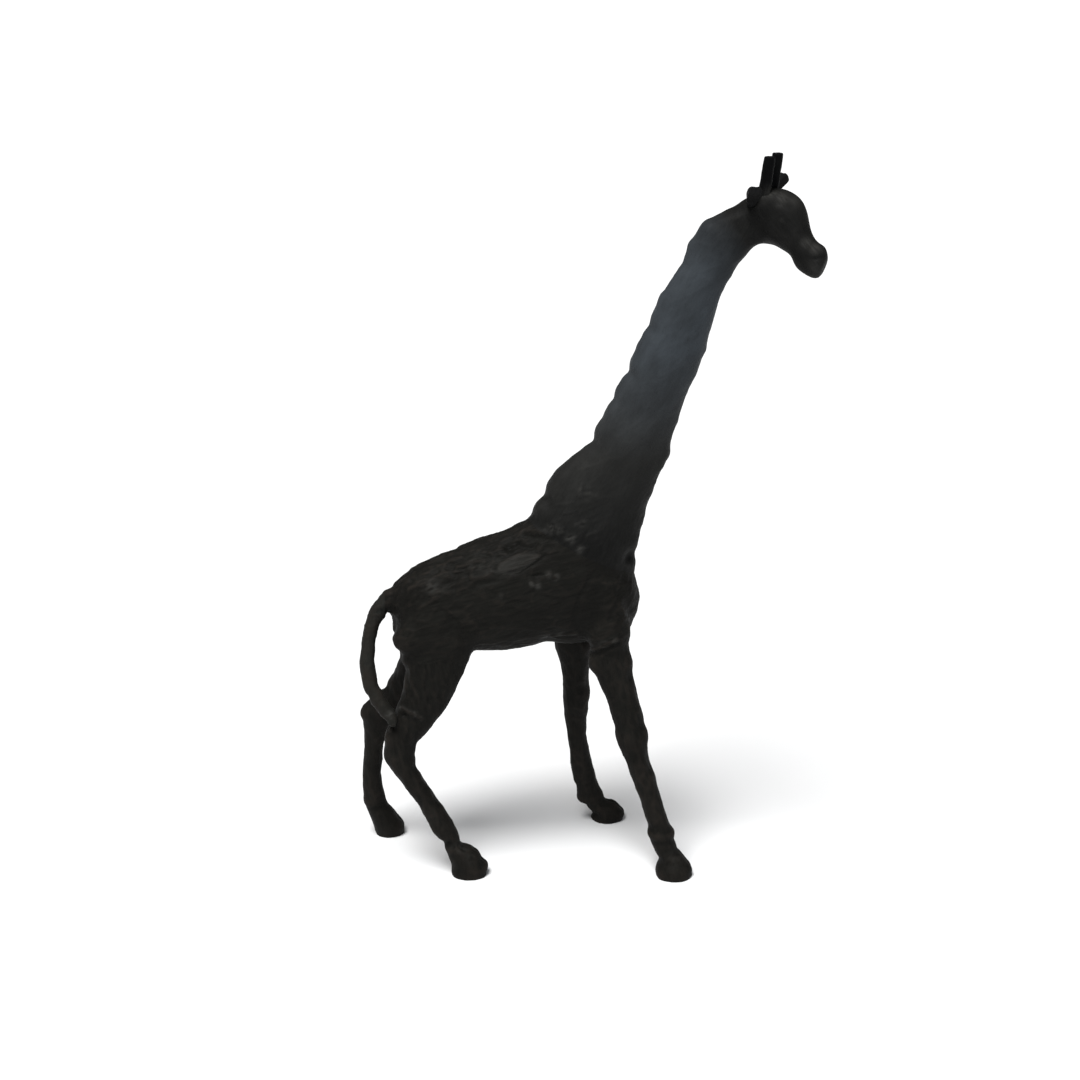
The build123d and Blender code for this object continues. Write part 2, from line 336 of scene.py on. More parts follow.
# A side bump is (side, x, z, radius, push), with side -1 for the right half and 1 for the left.
SIDE_BUMPS = [
    # rump beside the tail, and left hock
    (-1, -233, 316, 17, 4.4), (-1, -236, 331, 8, -2.2), (1, -250, 220, 10, -5.4),
    (1, -277, 47, 8, 2.0),
    # the forelegs meeting under the chest
    (-1, 14, 277, 9, 5.5), (1, 8, 270, 10, 4.0), (-1, 13, 288, 8, 5.0), (1, 8, 281, 9, 4.0),
    # right fore knee, fetlock and hoof
    (-1, 71, 198, 10, -3.6), (-1, 44, 197, 11, -2.8), (-1, 85, 65, 8, -3.2),
    (-1, 112, 58, 6, 2.0),
    (-1, 96, 19, 8, -1.4), (-1, 97, 5, 6, 2.6),
    # left fore fetlock and hoof
    (1, 30, 46, 7, -1.6), (1, 38, 33, 8, -3.4), (1, 46, 29, 7, -1.4), (1, 26, 9, 8, -5.0),
    (1, 8, 33, 8, 3.6), (1, 1, 54, 7, -1.8),
    # right hind hoof
    (-1, -153, 42, 7, -3.8), (-1, -143, 34, 7, -1.4), (-1, -131, 18, 8, -3.0),
    (-1, -165, 15, 9, -1.4), (-1, -172, 45, 8, -5.6), (-1, -169, 31, 6, -1.0),
    # left hind hoof
    (1, -255, 50, 8, -1.4), (1, -249, 39, 7, -1.2),
]

# A bump on one place only is (x, y, z, radius, push).
SPOT_BUMPS = [
    # tail root flowing into the rump
    (-244, -4, 368, 12, 3.0), (-230, -2, 350, 8, 1.5), (-250, -6, 339, 8, 3.0),
    # crumpled lumps on the haunch
    (-190, -34, 386, 6, 1.8), (-181, -38, 382, 5, 1.6), (-186, -40, 374, 6, 1.4),
    (-168, -37, 391, 6, -2.2), (-158, -39, 397, 5, -2.0), (-161, -42, 384, 4, -2.0),
    (-150, -40, 390, 5, 1.4), (-174, -12, 411, 4, -1.6), (-116, -44, 407, 6, 1.8),
    # pocket above the leaf-shaped patch
    (-92, -28, 433, 7, -3.4), (-80, -29, 437, 6, -3.0),
    # hollows under the step behind the withers
    (-60, -32, 440, 8, -1.8), (-44, -38, 438, 7, -1.6), (-38, -35, 461, 6, 1.4),
    (-30, -37, 459, 5, 1.2),
    # flaked spots on the flank
    (-66, -52, 393, 4, 1.3), (-58, -52, 390, 4, 1.1), (-46, -51, 404, 4, 1.3),
    (-37, -51, 401, 4, 1.3), (-60, -50, 401, 5, -1.6), (-104, -52, 378, 4, 1.2),
    # shoulder and chest
    (-6, -44, 328, 5, -1.6), (10, -51, 334, 4, -1.4), (3, -50, 343, 6, 1.2),
    (58, -47, 282, 13, 2.2), (58, -57, 262, 7, -2.0), (15, -43, 276, 12, 2.4),
    # thigh and hock
    (-193, -58, 243, 5, -2.4), (-222, -43, 262, 3, -1.4), (-184, -52, 222, 9, 1.6),
    (-244, -50, 188, 10, 2.6), (-217, -52, 163, 9, 1.0), (-158, -48, 277, 9, -1.6),
    (-268, 32, 201, 8, -1.6), (-279, 36, 183, 8, 2.2),
    # knees and shins
    (81, -71, 141, 9, -1.6),
    (57, -70, 159, 9, -1.8), (10, 31, 250, 9, 1.0), (12, 41, 200, 11, 2.8),
    (-188, -60, 99, 10, -1.8),
    # horn bosses, brow, cheek hollow, chin
    (197, -33, 850, 10, 5.0), (211, -25, 861, 10, 7.0), (224, 2, 862, 10, 4.0),
    (252, -33, 855, 12, 1.2), (238, -48, 833, 15, -1.4), (251, -42, 784, 8, 1.4),
    # top of the muzzle and the lip below it
    (262, -50, 808, 9, 1.2), (272, -54, 786, 7, 1.0),
    # eyes
    (229, -45, 838, 5, 0.8), (253, -3, 838, 5, 0.8),
]

# A cut is (start, end, width, depth): a groove in the surface near a line from start to end.
# A negative depth raises a bead.
CUTS = [
    # tail tip, curled over the hock
    ((-251, -63, 234), (-243, -67, 224), 3.0, -1.4),
    ((-243, -57, 224), (-231, -50, 231), 2.6, -2.2),
    ((-231, -50, 231), (-214, -60, 225), 2.6, -2.2),
    ((-214, -60, 225), (-205, -60, 219), 2.6, -1.8),
    ((-244, -57, 218), (-226, -54, 222), 2.4, 1.6), ((-226, -54, 222), (-210, -60, 216), 2.4, 1.4),
    # creases below the tail tip
    ((-247, -50, 214), (-243, -50, 200), 2.2, -1.4), ((-219, -58, 206), (-224, -58, 188), 2.4, 1.4),
    ((-240, -50, 206), (-236, -52, 186), 2.4, 1.0), ((-213, -56, 200), (-214, -54, 182), 2.4, 0.9),
    ((-252, 36, 160), (-258, 40, 132), 2.6, -1.6), ((-258, 40, 132), (-256, 47, 114), 2.6, -1.2),
    # eyelids
    ((222, -43, 840), (229, -46, 843.5), 1.6, 0.9), ((229, -46, 843.5), (236, -48, 838), 1.6, 0.9),
    ((222, -43, 839), (230, -46, 833), 1.6, 0.7), ((246, -6, 840), (253, -2, 843.5), 1.6, 0.9),
    ((253, -2, 843.5), (260, -4, 838), 1.6, 0.9), ((247, -6, 838), (254, -2, 833), 1.6, 0.7),
    # edge of the crown
    ((214, -34, 869), (224, -39, 859), 3.6, 1.2), ((224, -39, 859), (240, -42, 853), 3.6, 1.0),
    # mouth and nostrils
    ((258, -54, 797), (268, -57, 795), 2.4, 1.1), ((268, -57, 795), (279, -54, 798), 2.4, 1.2),
    ((276, -45, 806), (280, -48, 803), 2.2, 1.2), ((283, -32, 806), (286, -30, 802), 2.2, 1.2),
    # cleft at the toe of each hoof
    ((118, -75, 34), (130, -78, 23), 2.6, 1.2), ((130, -78, 23), (139, -81, 3), 2.6, 2.2),
    ((43, 77, 34), (57, 78, 23), 2.6, 1.2), ((57, 78, 23), (68, 81, 3), 2.6, 2.2),
    ((-140, -58, 34), (-129, -59, 23), 2.6, 1.2), ((-129, -59, 23), (-124, -62, 3), 2.6, 2.2),
    ((-242, 58, 34), (-235, 59, 23), 2.6, 1.2), ((-235, 59, 23), (-227, 61, 3), 2.6, 2.2),
]

# A side cut is (places, width, depth), and its places are (x, z) along a line on the right
# side. The left side gets the same cuts, shifted and shallower.
SIDE_CUTS = [
    # round the leaf-shaped patch
    (((-110, 408), (-105, 403), (-86, 406)), 2.6, 1.6),
    (((-92, 405), (-86, 406), (-65, 415), (-48, 426)), 2.6, 1.8),
    (((-94, 430), (-80, 434), (-62, 433)), 3.0, 1.5),
    # step behind the withers, with a crack in its end
    (((-72, 445), (-49, 445), (-34, 444)), 3.6, 1.8),
    (((-74, 449), (-52, 452), (-32, 450)), 3.4, -1.2),
    (((-38, 463), (-36, 449)), 1.8, 1.6),
    # streaks along the back
    (((-148, 420), (-133, 423), (-116, 422)), 2.0, 1.8),
    (((-168, 410), (-148, 412)), 1.8, 1.3), (((-169, 405), (-147, 407)), 1.8, 1.3),
    (((-165, 401), (-144, 402)), 1.8, 1.1), (((-140, 415), (-122, 416)), 1.8, -1.2),
    (((-205, 392), (-180, 402)), 2.2, 1.2), (((-214, 380), (-196, 388)), 2.2, -1.2),
    (((-139, 398), (-120, 402)), 2.4, -1.2), (((-134, 391), (-112, 396)), 2.4, 1.2),
    (((-70, 402), (-48, 404)), 2.0, 1.4), (((-128, 436), (-108, 443), (-92, 446)), 2.0, 1.2),
    # scratches on the shoulder
    (((-24, 445), (-10, 449)), 1.6, -1.1), (((-13, 432), (1, 436)), 1.6, -1.1),
    (((-12, 465), (3, 470)), 1.6, -1.0), (((-3, 513), (-5, 499)), 1.6, -1.2),
    (((-26, 474), (-8, 480)), 1.6, 0.9), (((2, 452), (20, 458)), 1.6, -0.8),
    (((-34, 486), (-14, 492)), 1.8, -0.9), (((6, 482), (24, 489)), 1.8, 0.8),
    # loose folds down the barrel
    (((-120, 384), (-96, 372), (-70, 368)), 3.0, 0.9),
    (((-60, 380), (-30, 372), (-4, 378)), 3.0, 0.9),
    (((-178, 360), (-160, 345), (-150, 322)), 3.2, 1.0), (((-140, 352), (-122, 334)), 3.0, 0.9),
    # where the foreleg meets the body
    (((-40, 318), (-30, 321), (-10, 323)), 2.2, -1.6),
    (((-42, 313), (-30, 315), (-10, 317)), 2.4, 1.4),
    (((12, 301), (27, 312), (40, 318)), 2.0, -1.5), (((14, 296), (29, 306), (42, 312)), 2.4, 1.5),
    (((-14, 345), (-8, 372), (6, 398)), 3.4, 1.1), (((30, 345), (44, 372), (50, 400)), 3.4, 0.9),
    # wrinkles in the thigh
    (((-207, 285), (-211, 262), (-203, 246)), 2.6, 1.3), (((-199, 282), (-202, 262)), 2.4, -1.1),
    (((-222, 282), (-220, 262), (-216, 246)), 2.4, 1.1), (((-177, 258), (-182, 246)), 2.4, 1.2),
    (((-186, 300), (-190, 276)), 3.0, 0.9), (((-165, 300), (-172, 274)), 3.0, -0.9),
]
LEFT_SHIFT = (9, -5)
LEFT_DEPTH = 0.8

# A ring is (x, y, z, width, depth): a level groove round a leg.
RINGS = [
    (101, -75, 48, 4, 1.0), (101, -75, 57, 4, -0.6), (20, 74, 27, 4, 0.8), (20, 76, 38, 5, -0.6),
    (-168, -57, 46, 4, 1.0), (-160, -58, 37, 4, -0.6), (-262, 58, 44, 4, 1.0),
    (-262, 58, 55, 5, -0.6),
]
RING_REACH = 34

# Pale spots: (x, y, z, radius, amount). Some are places where the stain is rubbed pale; others are
# painted highlights, as behind the withers, on the shoulder, on the crown and at the tail's end.
WEAR_AND_HIGHLIGHT_SPOTS = [
    (-17, -43, 447, 6, 0.9), (-6, -47, 434, 5, 0.9), (-4, -41, 467, 5, 0.8),
    (-4, -32, 507, 4, 0.9),
    (-41, -34, 459, 5, 1.0), (-31, -37, 458, 5, 1.1), (-48, -33, 454, 6, 0.6),
    (-66, -52, 393, 4, 1.2), (-58, -52, 390, 4, 1.1), (-45, -51, 404, 4, 1.2),
    (-36, -51, 401, 4, 1.2), (-116, -42, 407, 5, 0.9), (-188, -35, 386, 8, 0.9),
    (-178, -38, 380, 6, 0.7), (-133, -30, 413, 10, 0.5), (-104, -52, 378, 3, 0.9),
    (7, -36, 503, 9, 0.7), (-244, -66, 225, 5, 1.0), (-231, -50, 231, 4, 1.1),
    (-214, -60, 225, 4, 1.1), (-206, -60, 219, 3, 1.2), (-30, -42, 321, 6, 0.9),
    (-12, -43, 323, 5, 0.7), (24, -56, 311, 6, 0.9), (36, -57, 316, 5, 0.8),
    (-244, -49, 207, 4, 0.9), (-255, 38, 146, 8, 0.8), (218, -28, 868, 9, 0.8),
    (230, -33, 863, 9, 0.8), (243, -34, 858, 8, 0.6), (258, -48, 812, 7, 0.9),
    (268, -50, 806, 7, 0.9), (268, -57, 784, 8, 0.4), (-156, -68, 41, 8, 0.5),
    (-146, -76, 30, 8, 0.3), (112, -90, 28, 10, 0.3), (10, 35, 224, 8, 0.5),
    (95, 0, 620, 10, 0.3),
]

# The fold behind the right cheek, filled out: (place, radius).
CHEEK_FOLD = ((205, -24, 832), 24)

# The smooth leaf-shaped patch on the right of the back: (x, z, half length, half height, slope).
LEAF = (-82, 416, 30, 11, 0.32)
LEAF_TAPER = 0.55
LEAF_EDGE = (0.8, 1.05)

# Corners that are eased: (x, z, radius).
EASED_CORNERS = [(-138, 300, 24), (-24, 312, 16), (-246, 330, 16), (-215, 365, 22)]

# Where marks of one side fade in, in mm out from the middle plane.
BUMP_SIDE_FADE = (-4, 6)
CUT_SIDE_FADE = (2, 12)


def spot(points, place, radius):
    """1 at the place, fading to 0 over the radius."""
    return np.exp(-((points - np.array(place, float)) ** 2).sum(1) / radius**2)


def bump_shift(points):
    """How far the bumps push each vertex out."""
    shift = np.zeros(len(points))
    for x, z, radius, push in THROUGH_BUMPS:
        away = ((points[:, 0] - x) ** 2 + (points[:, 2] - z) ** 2) / radius**2
        shift += push * np.exp(-away)
    for side, x, z, radius, push in SIDE_BUMPS:
        away = ((points[:, 0] - x) ** 2 + (points[:, 2] - z) ** 2) / radius**2
        shift += push * np.exp(-away) * smooth_step(side * points[:, 1], *BUMP_SIDE_FADE)
    for x, y, z, radius, push in SPOT_BUMPS:
        shift += push * spot(points, (x, y, z), radius)
    return shift


def leaf(points):
    """1 on the leaf-shaped patch, 0 off it."""
    x, z, half_length, half_height, slope = LEAF
    run = (points[:, 0] - x) / half_length
    rise = (points[:, 2] - z - slope * (points[:, 0] - x)) / half_height
    rise = rise / (1 - LEAF_TAPER * np.clip(run, 0, 1))
    return (points[:, 1] < 0) * (1 - smooth_step(np.hypot(run, rise), *LEAF_EDGE))


def near_line(points, start, end, width):
    """1 on the line from start to end, fading to 0 over the width."""
    start, end = np.array(start, float), np.array(end, float)
    run = end - start
    share = np.clip((points - start) @ run / (run @ run), 0, 1)
    away = ((points - start - share[:, None] * run) ** 2).sum(1)
    return np.exp(-away / width**2)


def cut_shift(points):
    """How far the cuts push each vertex in."""
    shift = np.zeros(len(points))
    for start, end, width, depth in CUTS:
        shift -= depth * near_line(points, start, end, width)
    flat = points[:, [0, 2]]
    for side, offset, strength in ((-1, (0, 0), 1.0), (1, LEFT_SHIFT, LEFT_DEPTH)):
        on_side = smooth_step(side * points[:, 1], *CUT_SIDE_FADE) * strength
        for places, width, depth in SIDE_CUTS:
            line = np.array(places, float) + offset
            near = np.zeros(len(points))
            for start, end in zip(line[:-1], line[1:]):
                near = np.maximum(near, near_line(flat, start, end, width))
            shift -= depth * near * on_side
    for x, y, z, width, depth in RINGS:
        here = np.hypot(points[:, 0] - x, points[:, 1] - y) < RING_REACH
        shift -= depth * here * np.exp(-(((points[:, 2] - z) / width) ** 2))
    return shift


# ---- Skin --------------------------------------------------------------------------

# While the skin is made, the tail's end is held out from the leg, so that they stay apart.
TAIL_SWING = 10
TAIL_SWING_HEIGHTS = (215, 300)

COARSE_VOXEL = 2.6
FINE_VOXEL = 1.45

# Easing: how wide it is at a joint, how strong it is on the torso, and its rounds.
SEAM_WIDTH = 13
SEAM_REACH = 1.1
TORSO_EASING = 0.35
TORSO_HEIGHTS = (300, 330)
CORNER_ROUNDS = 36
CHEEK_ROUNDS = 160
SKIN_ROUNDS = 5
SKIN_BACK = 0.52


def tail_swing(points):
    """How far the tail is held out from the leg while the skin is made."""
    return TAIL_SWING * (1 - smooth_step(points[:, 2], *TAIL_SWING_HEIGHTS))


def seam_weight(points):
    """1 on the joints and in the corners that need easing, 0 away from them."""
    weight = np.zeros(len(points))
    for joint in JOINTS.values():
        centre, _, reach = joint
        near = np.linalg.norm(points - np.array(centre, float), axis=1) < reach * SEAM_REACH
        seam = np.exp(-((beyond(points, joint) / SEAM_WIDTH) ** 2))
        weight = np.maximum(weight, near * seam)
    for x, z, radius in EASED_CORNERS:
        away = ((points[:, 0] - x) ** 2 + (points[:, 2] - z) ** 2) / radius**2
        weight = np.maximum(weight, np.exp(-away))
    return weight


def add_plug(shape, place, direction, radius, depth):
    """Add a cylinder that starts at place and runs along direction."""
    unit = Vector(direction).normalized()
    middle = Vector(place) + unit * (depth / 2)
    turn = unit.to_track_quat("Z", "Y").to_matrix().to_4x4()
    turn.translation = middle * MM
    bmesh.ops.create_cone(
        shape, cap_ends=True, segments=PLUG_SIDES, radius1=radius * MM, radius2=radius * MM,
        depth=depth * MM, matrix=turn,
    )


def make_skin():
    """One even, eased skin over the whole carving but the horns and ears."""
    shape = bmesh.new()
    for node in BODY_NODES:
        known = len(shape.verts)
        shape.from_mesh(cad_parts[node].data)
        if node == "tail":
            shape.verts.ensure_lookup_table()
            tail = shape.verts[known:]
            places = np.array([v.co[:] for v in tail]) / MM
            for vertex, swing in zip(tail, tail_swing(places)):
                vertex.co.y -= swing * MM
    for plug in PLUGS:
        add_plug(shape, *plug)
    mesh = bpy.data.meshes.new("skin")
    shape.to_mesh(mesh)
    shape.free()
    skin = new_object("skin", mesh)

    voxel_remesh(skin, COARSE_VOXEL)
    points = get_points(skin.data)
    torso = (beyond(points, NECK_JOINT) < 0) * smooth_step(points[:, 2], *TORSO_HEIGHTS)
    weight = np.clip(seam_weight(points) + TORSO_EASING * torso, 0, 1)
    relax(skin.data, weight, CORNER_ROUNDS)
    relax(skin.data, spot(get_points(skin.data), *CHEEK_FOLD), CHEEK_ROUNDS)
    voxel_remesh(skin, FINE_VOXEL)
    relax(skin.data, 1.0, SKIN_ROUNDS, back=SKIN_BACK)
    return skin


# How the parts of the figure fade into each other, in mm.
NECK_FADE = (-20, 30)
HEAD_FADE = (-10, 12)
LEG_FADE = (275, 325)
FOOT_FADE = (45, 65)
BACK_SLOPE = 0.42
BACK_FADE = (425, 460)

# Soft lumps over all the wood are (height, size, seed). Head and feet have less of them.
LUMPS = [(1.0, 36, 1), (0.7, 17, 2)]
CALM = 0.7

# Gouge marks: grain, size of a dish, depth of a dish, height of the fibres.
GOUGE_MARKS = {
    "torso": ((1, 0, 0.28), 14, 0.9, 0.45),
    "neck": ((0.8, 0.2, 0.5), 17, 0.6, 0.18),
    "leg": ((0.25, 0, -1), 12, 0.7, 0.30),
}
GOUGE_SEED = 3
GOUGE_STRETCH = 2.0
DISH_LEVEL = 0.35
FIBRE_SEED = 4
FIBRE_SIZE = 3.4
FIBRE_STRETCH = 5
FOOT_CALM = 0.6

# Rough marks are (height, size, seed, direction, stretch).
BACK_MARKS = [(1.3, 8, 5, (1, 0, 0.4), 2.4), (0.8, 3.4, 6, (1, 0, 0.4), 2)]
SHOULDER_MARKS = (0.9, 4.5, 8, (1, 0, 0.35), 4.5)
SHOULDER = ((-8, 0, 472), 42)
SHOULDER_SQUEEZE = (1, 0.5, 1)

# The leaf-shaped patch is smooth and stands out. The body stands a little proud of the CAD.
LEAF_CALM = 0.75
LEAF_HEIGHT = 1.6
FULLNESS = 0.6

# A share below these is left out.
FAINT = 0.01
SHOULDER_FAINT = 0.03


def rough(points, height, size, seed, direction, stretch):
    """Rough marks drawn out along a direction."""
    return height * lumps(points, size, seed, direction, stretch)


def carve_skin(mesh):
    """Work the skin: lumps, gouge marks, streaks, bumps and cuts."""
    points, normals = get_points(mesh), get_normals(mesh)
    on_neck = smooth_step(beyond(points, NECK_JOINT), *NECK_FADE)
    on_head = smooth_step(beyond(points, HEAD_JOINT), *HEAD_FADE)
    on_leg = (1 - smooth_step(points[:, 2], *LEG_FADE)) * (1 - on_neck)
    on_torso = (1 - on_neck) * (1 - on_leg)
    on_neck = on_neck * (1 - on_head)
    on_foot = 1 - smooth_step(points[:, 2], *FOOT_FADE)
    on_back = on_torso * smooth_step(points[:, 2] - BACK_SLOPE * points[:, 0], *BACK_FADE)
    on_shoulder = spot(points * SHOULDER_SQUEEZE, *SHOULDER)

    shift = sum(height * lumps(points, size, seed) for height, size, seed in LUMPS)
    shift *= 1 - CALM * np.maximum(on_head, on_foot)
    for part, share in (("torso", on_torso), ("neck", on_neck), ("leg", on_leg)):
        grain, size, deep, fine = GOUGE_MARKS[part]
        here = np.flatnonzero(share > FAINT)
        place = points[here]
        relief = deep * (gouges(place, size, GOUGE_SEED, grain, GOUGE_STRETCH) - DISH_LEVEL)
        relief += fine * lumps(place, FIBRE_SIZE, FIBRE_SEED, grain, FIBRE_STRETCH)
        shift[here] += relief * share[here] * (1 - FOOT_CALM * on_foot[here])
    here = np.flatnonzero(on_back > FAINT)
    shift[here] += sum(rough(points[here], *marks) for marks in BACK_MARKS) * on_back[here]
    here = np.flatnonzero(on_shoulder > SHOULDER_FAINT)
    shift[here] += rough(points[here], *SHOULDER_MARKS) * on_shoulder[here]
    smooth = leaf(points)
    shift = shift * (1 - LEAF_CALM * smooth) + LEAF_HEIGHT * smooth
    shift += FULLNESS * (1 - on_leg) + bump_shift(points) + cut_shift(points)
    set_points(mesh, points + normals * shift[:, None])


# The belly between these x, and above the underside's z, is lifted to its lowest height, so
# that it stays over the joints of the hind legs.
BELLY_LOWEST = 292.5
BELLY_LIFT_LIMIT = 15
BELLY_REAR_FADE = (-139, -131)
BELLY_FRONT = -45
BELLY_UNDERSIDE = 275

# What is under the first height is planed to the floor, up to the second it is drawn down.
SOLE_HEIGHTS = (1.2, 2.2)
SOLE_STRETCH = 2.2


def level_off(mesh):
    """Keep the belly above the hind leg joints, and plane the four soles to the floor."""
    points = get_points(mesh)
    x, z = points[:, 0], points[:, 2]
    on_belly = smooth_step(x, *BELLY_REAR_FADE) * (x < BELLY_FRONT) * (z > BELLY_UNDERSIDE)
    points[:, 2] += np.clip(BELLY_LOWEST - z, 0, BELLY_LIFT_LIMIT) * on_belly
    planed, drawn = SOLE_HEIGHTS
    low = points[:, 2] < drawn
    above = (points[low, 2] - planed) * SOLE_STRETCH
    points[low, 2] = np.where(points[low, 2] < planed, 0, above)
    set_points(mesh, points)


# Wear shows where the wood stands proud of the surface around it, by up to this many mm.
LEVEL_ROUNDS = 8
PROUD_ROUNDS = 2
PROUD_RANGE = 0.8

# The pale spots, rubbed wear and painted highlights, are broken up by noise (size, seed, direction,
# stretch) on the body, and whole above these heights.
WEAR_AND_HIGHLIGHT_NOISE = (4.5, 9, (1, 0, 0.4), 1.8)
WEAR_AND_HIGHLIGHT_BREAK = (-0.4, 0.25)
WEAR_AND_HIGHLIGHT_WHOLE_FROM = (600, 650)
LEAF_PALENESS = 0.5


def store(mesh, name, values):
    """Keep a value for each vertex under a name that a material can read."""
    attribute = mesh.attributes.new(name, "FLOAT", "POINT")
    attribute.data.foreach_set("value", values.astype(np.float32))


def mark_wear_and_highlights(mesh):
    """Store how far each vertex stands out from around it, for the stain to rub off there, and the
    pale spots of rubbed wear and painted highlights.
    """
    points, normals = get_points(mesh), get_normals(mesh)
    ends, counts = get_edges(mesh)
    level = points
    for _ in range(LEVEL_ROUNDS):
        level = neighbour_mean(level, ends, counts)
    proud = ((points - level) * normals).sum(1)
    for _ in range(PROUD_ROUNDS):
        proud = neighbour_mean(proud, ends, counts)[:, 0]
    store(mesh, "ridge", np.clip(0.5 + proud / PROUD_RANGE, 0, 1))
    rub = np.zeros(len(points))
    for x, y, z, radius, amount in WEAR_AND_HIGHLIGHT_SPOTS:
        rub = np.maximum(rub, amount * spot(points, (x, y, z), radius))
    broken = smooth_step(lumps(points, *WEAR_AND_HIGHLIGHT_NOISE), *WEAR_AND_HIGHLIGHT_BREAK)
    rub *= np.maximum(broken, smooth_step(points[:, 2], *WEAR_AND_HIGHLIGHT_WHOLE_FROM))
    store(mesh, "rub", np.maximum(rub, LEAF_PALENESS * leaf(points)))


# ---- Cutting apart -----------------------------------------------------------------

# A loose bit with fewer vertices than this is a crumb of the cut, not a piece.
CRUMB = 200
CUT_TOLERANCE = 1e-7


def islands_of(shape):
    """The number of the loose part that each vertex belongs to."""
    label = np.full(len(shape.verts), -1)
    count = 0
    for first in shape.verts:
        if label[first.index] >= 0:
            continue
        label[first.index] = count
        stack = [first]
        while stack:
            for edge in stack.pop().link_edges:
                for vertex in edge.verts:
                    if label[vertex.index] < 0:
                        label[vertex.index] = count
                        stack.append(vertex)
        count += 1
    return label, count


def node_at(places):
    """The CAD node whose middle is nearest to the middle of a cut piece."""
    middle = (places.min(0) + places.max(0)) / 2

    def gap(node):
        low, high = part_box(node)
        return np.linalg.norm(middle - (np.array(low) + np.array(high)) / 2 / MM)

    return min(BODY_NODES, key=gap)


def cut_apart(skin):
    """Cut the skin at the joints and close the cut faces: {node: object}."""
    shape = bmesh.new()
    shape.from_mesh(skin.data)
    seams = set()
    for centre, normal, reach in JOINTS.values():
        middle = Vector(centre) * MM
        near = [f for f in shape.faces if (f.calc_center_median() - middle).length < reach * MM]
        edges = {e for f in near for e in f.edges}
        verts = {v for f in near for v in f.verts}
        result = bmesh.ops.bisect_plane(
            shape, geom=[*verts, *edges, *near], dist=CUT_TOLERANCE,
            plane_co=middle, plane_no=Vector(normal),
        )
        seams |= {e for e in result["geom_cut"] if isinstance(e, bmesh.types.BMEdge)}
    bmesh.ops.split_edges(shape, edges=list(seams))
    shape.verts.index_update()
    label, count = islands_of(shape)
    places = np.array([v.co[:] for v in shape.verts]) / MM
    pieces = {}
    for island in range(count):
        if (label == island).sum() < CRUMB:
            continue
        node = node_at(places[label == island])
        part = shape.copy()
        part.verts.index_update()
        gone = [v for v in part.verts if label[v.index] != island]
        bmesh.ops.delete(part, geom=gone, context="VERTS")
        rims = [e for e in part.edges if e.is_boundary]
        filled = bmesh.ops.holes_fill(part, edges=rims, sides=0)["faces"]
        for edge in rims:
            edge.smooth = False
        bmesh.ops.recalc_face_normals(part, faces=part.faces)
        bmesh.ops.triangulate(part, faces=filled)
        mesh = bpy.data.meshes.new(node + "_carved")
        part.to_mesh(mesh)
        part.free()
        pieces[node] = new_object(node + "_carved", mesh)
    shape.free()
    bpy.data.objects.remove(skin)
    return pieces


# ---- Material ----------------------------------------------------------------------

# Colours are linear. The tint is the stain, and worn is where it is rubbed thin.
STAIN_TINT = (0.0058, 0.0056, 0.0048)
STAIN_WORN = (0.0165, 0.0138, 0.0115)
# Pale colour of the spots: rubbed stain, and painted highlights.
PALE_WEAR_AND_HIGHLIGHT = (0.037, 0.036, 0.033)

# Noise is (scale per metre, stretch along the grain, detail, softness).
BROAD_NOISE = (13, 1.6, 3, 0.55)
CLOUD_NOISE = (45, 2.2, 4, 0.6)
FIBRE_NOISE = (380, 12, 5, 0.6)
PORE_NOISE = (850, 6, 2, 0.55)

# The stain is this much paler in broad patches and clouds, and darker in streaks.
BROAD_PALER = 1.55
CLOUD_PALER = 2.3
STREAK_DARKER = 0.4

# How noise turns into an amount: (low, high, amount at low, amount at high).
BROAD_PATCHES = (0.35, 0.68, 0, 1)
CLOUD_PATCHES = (0.5, 0.8, 0, 0.7)
FIBRE_STREAKS = (0.45, 0.75, 0, 0.6)
RIDGE_WEAR = (0.55, 1.0, 0, 1)
CLOUDY_WEAR = (0.35, 0.65, 0.1, 0.9)
STREAKY_WEAR_AND_HIGHLIGHT = (0.35, 0.62, 0.25, 1)
PORE_DEPTH = (0.62, 0.72, 0, -0.8)
ROUGHNESS = (0.3, 0.7, 0.48, 0.68)
PAINTED_SHEEN_CLOUDS = (0.3, 0.7)

# The painted sheen on the neck, a pale reflection painted into the colour: heights in metres where
# it comes in and where it turns cool, the places along the head joint's normal where it ends, and
# its warm and cool colours.
PAINTED_SHEEN_FROM = (0.44, 0.60)
PAINTED_SHEEN_COOLS = (0.54, 0.68)
PAINTED_SHEEN_ENDS = (0.552, 0.612)
PAINTED_SHEEN_WARM = (0.026, 0.026, 0.0245)
PAINTED_SHEEN_COOL = (0.044, 0.051, 0.058)
PAINTED_SHEEN_THIN = 0.6

GRAIN_BUMP = 0.55
GRAIN_HEIGHT = 0.6 * MM


def scaled(colour, factor):
    """The colour with each part multiplied by the factor."""
    return tuple(part * factor for part in colour)


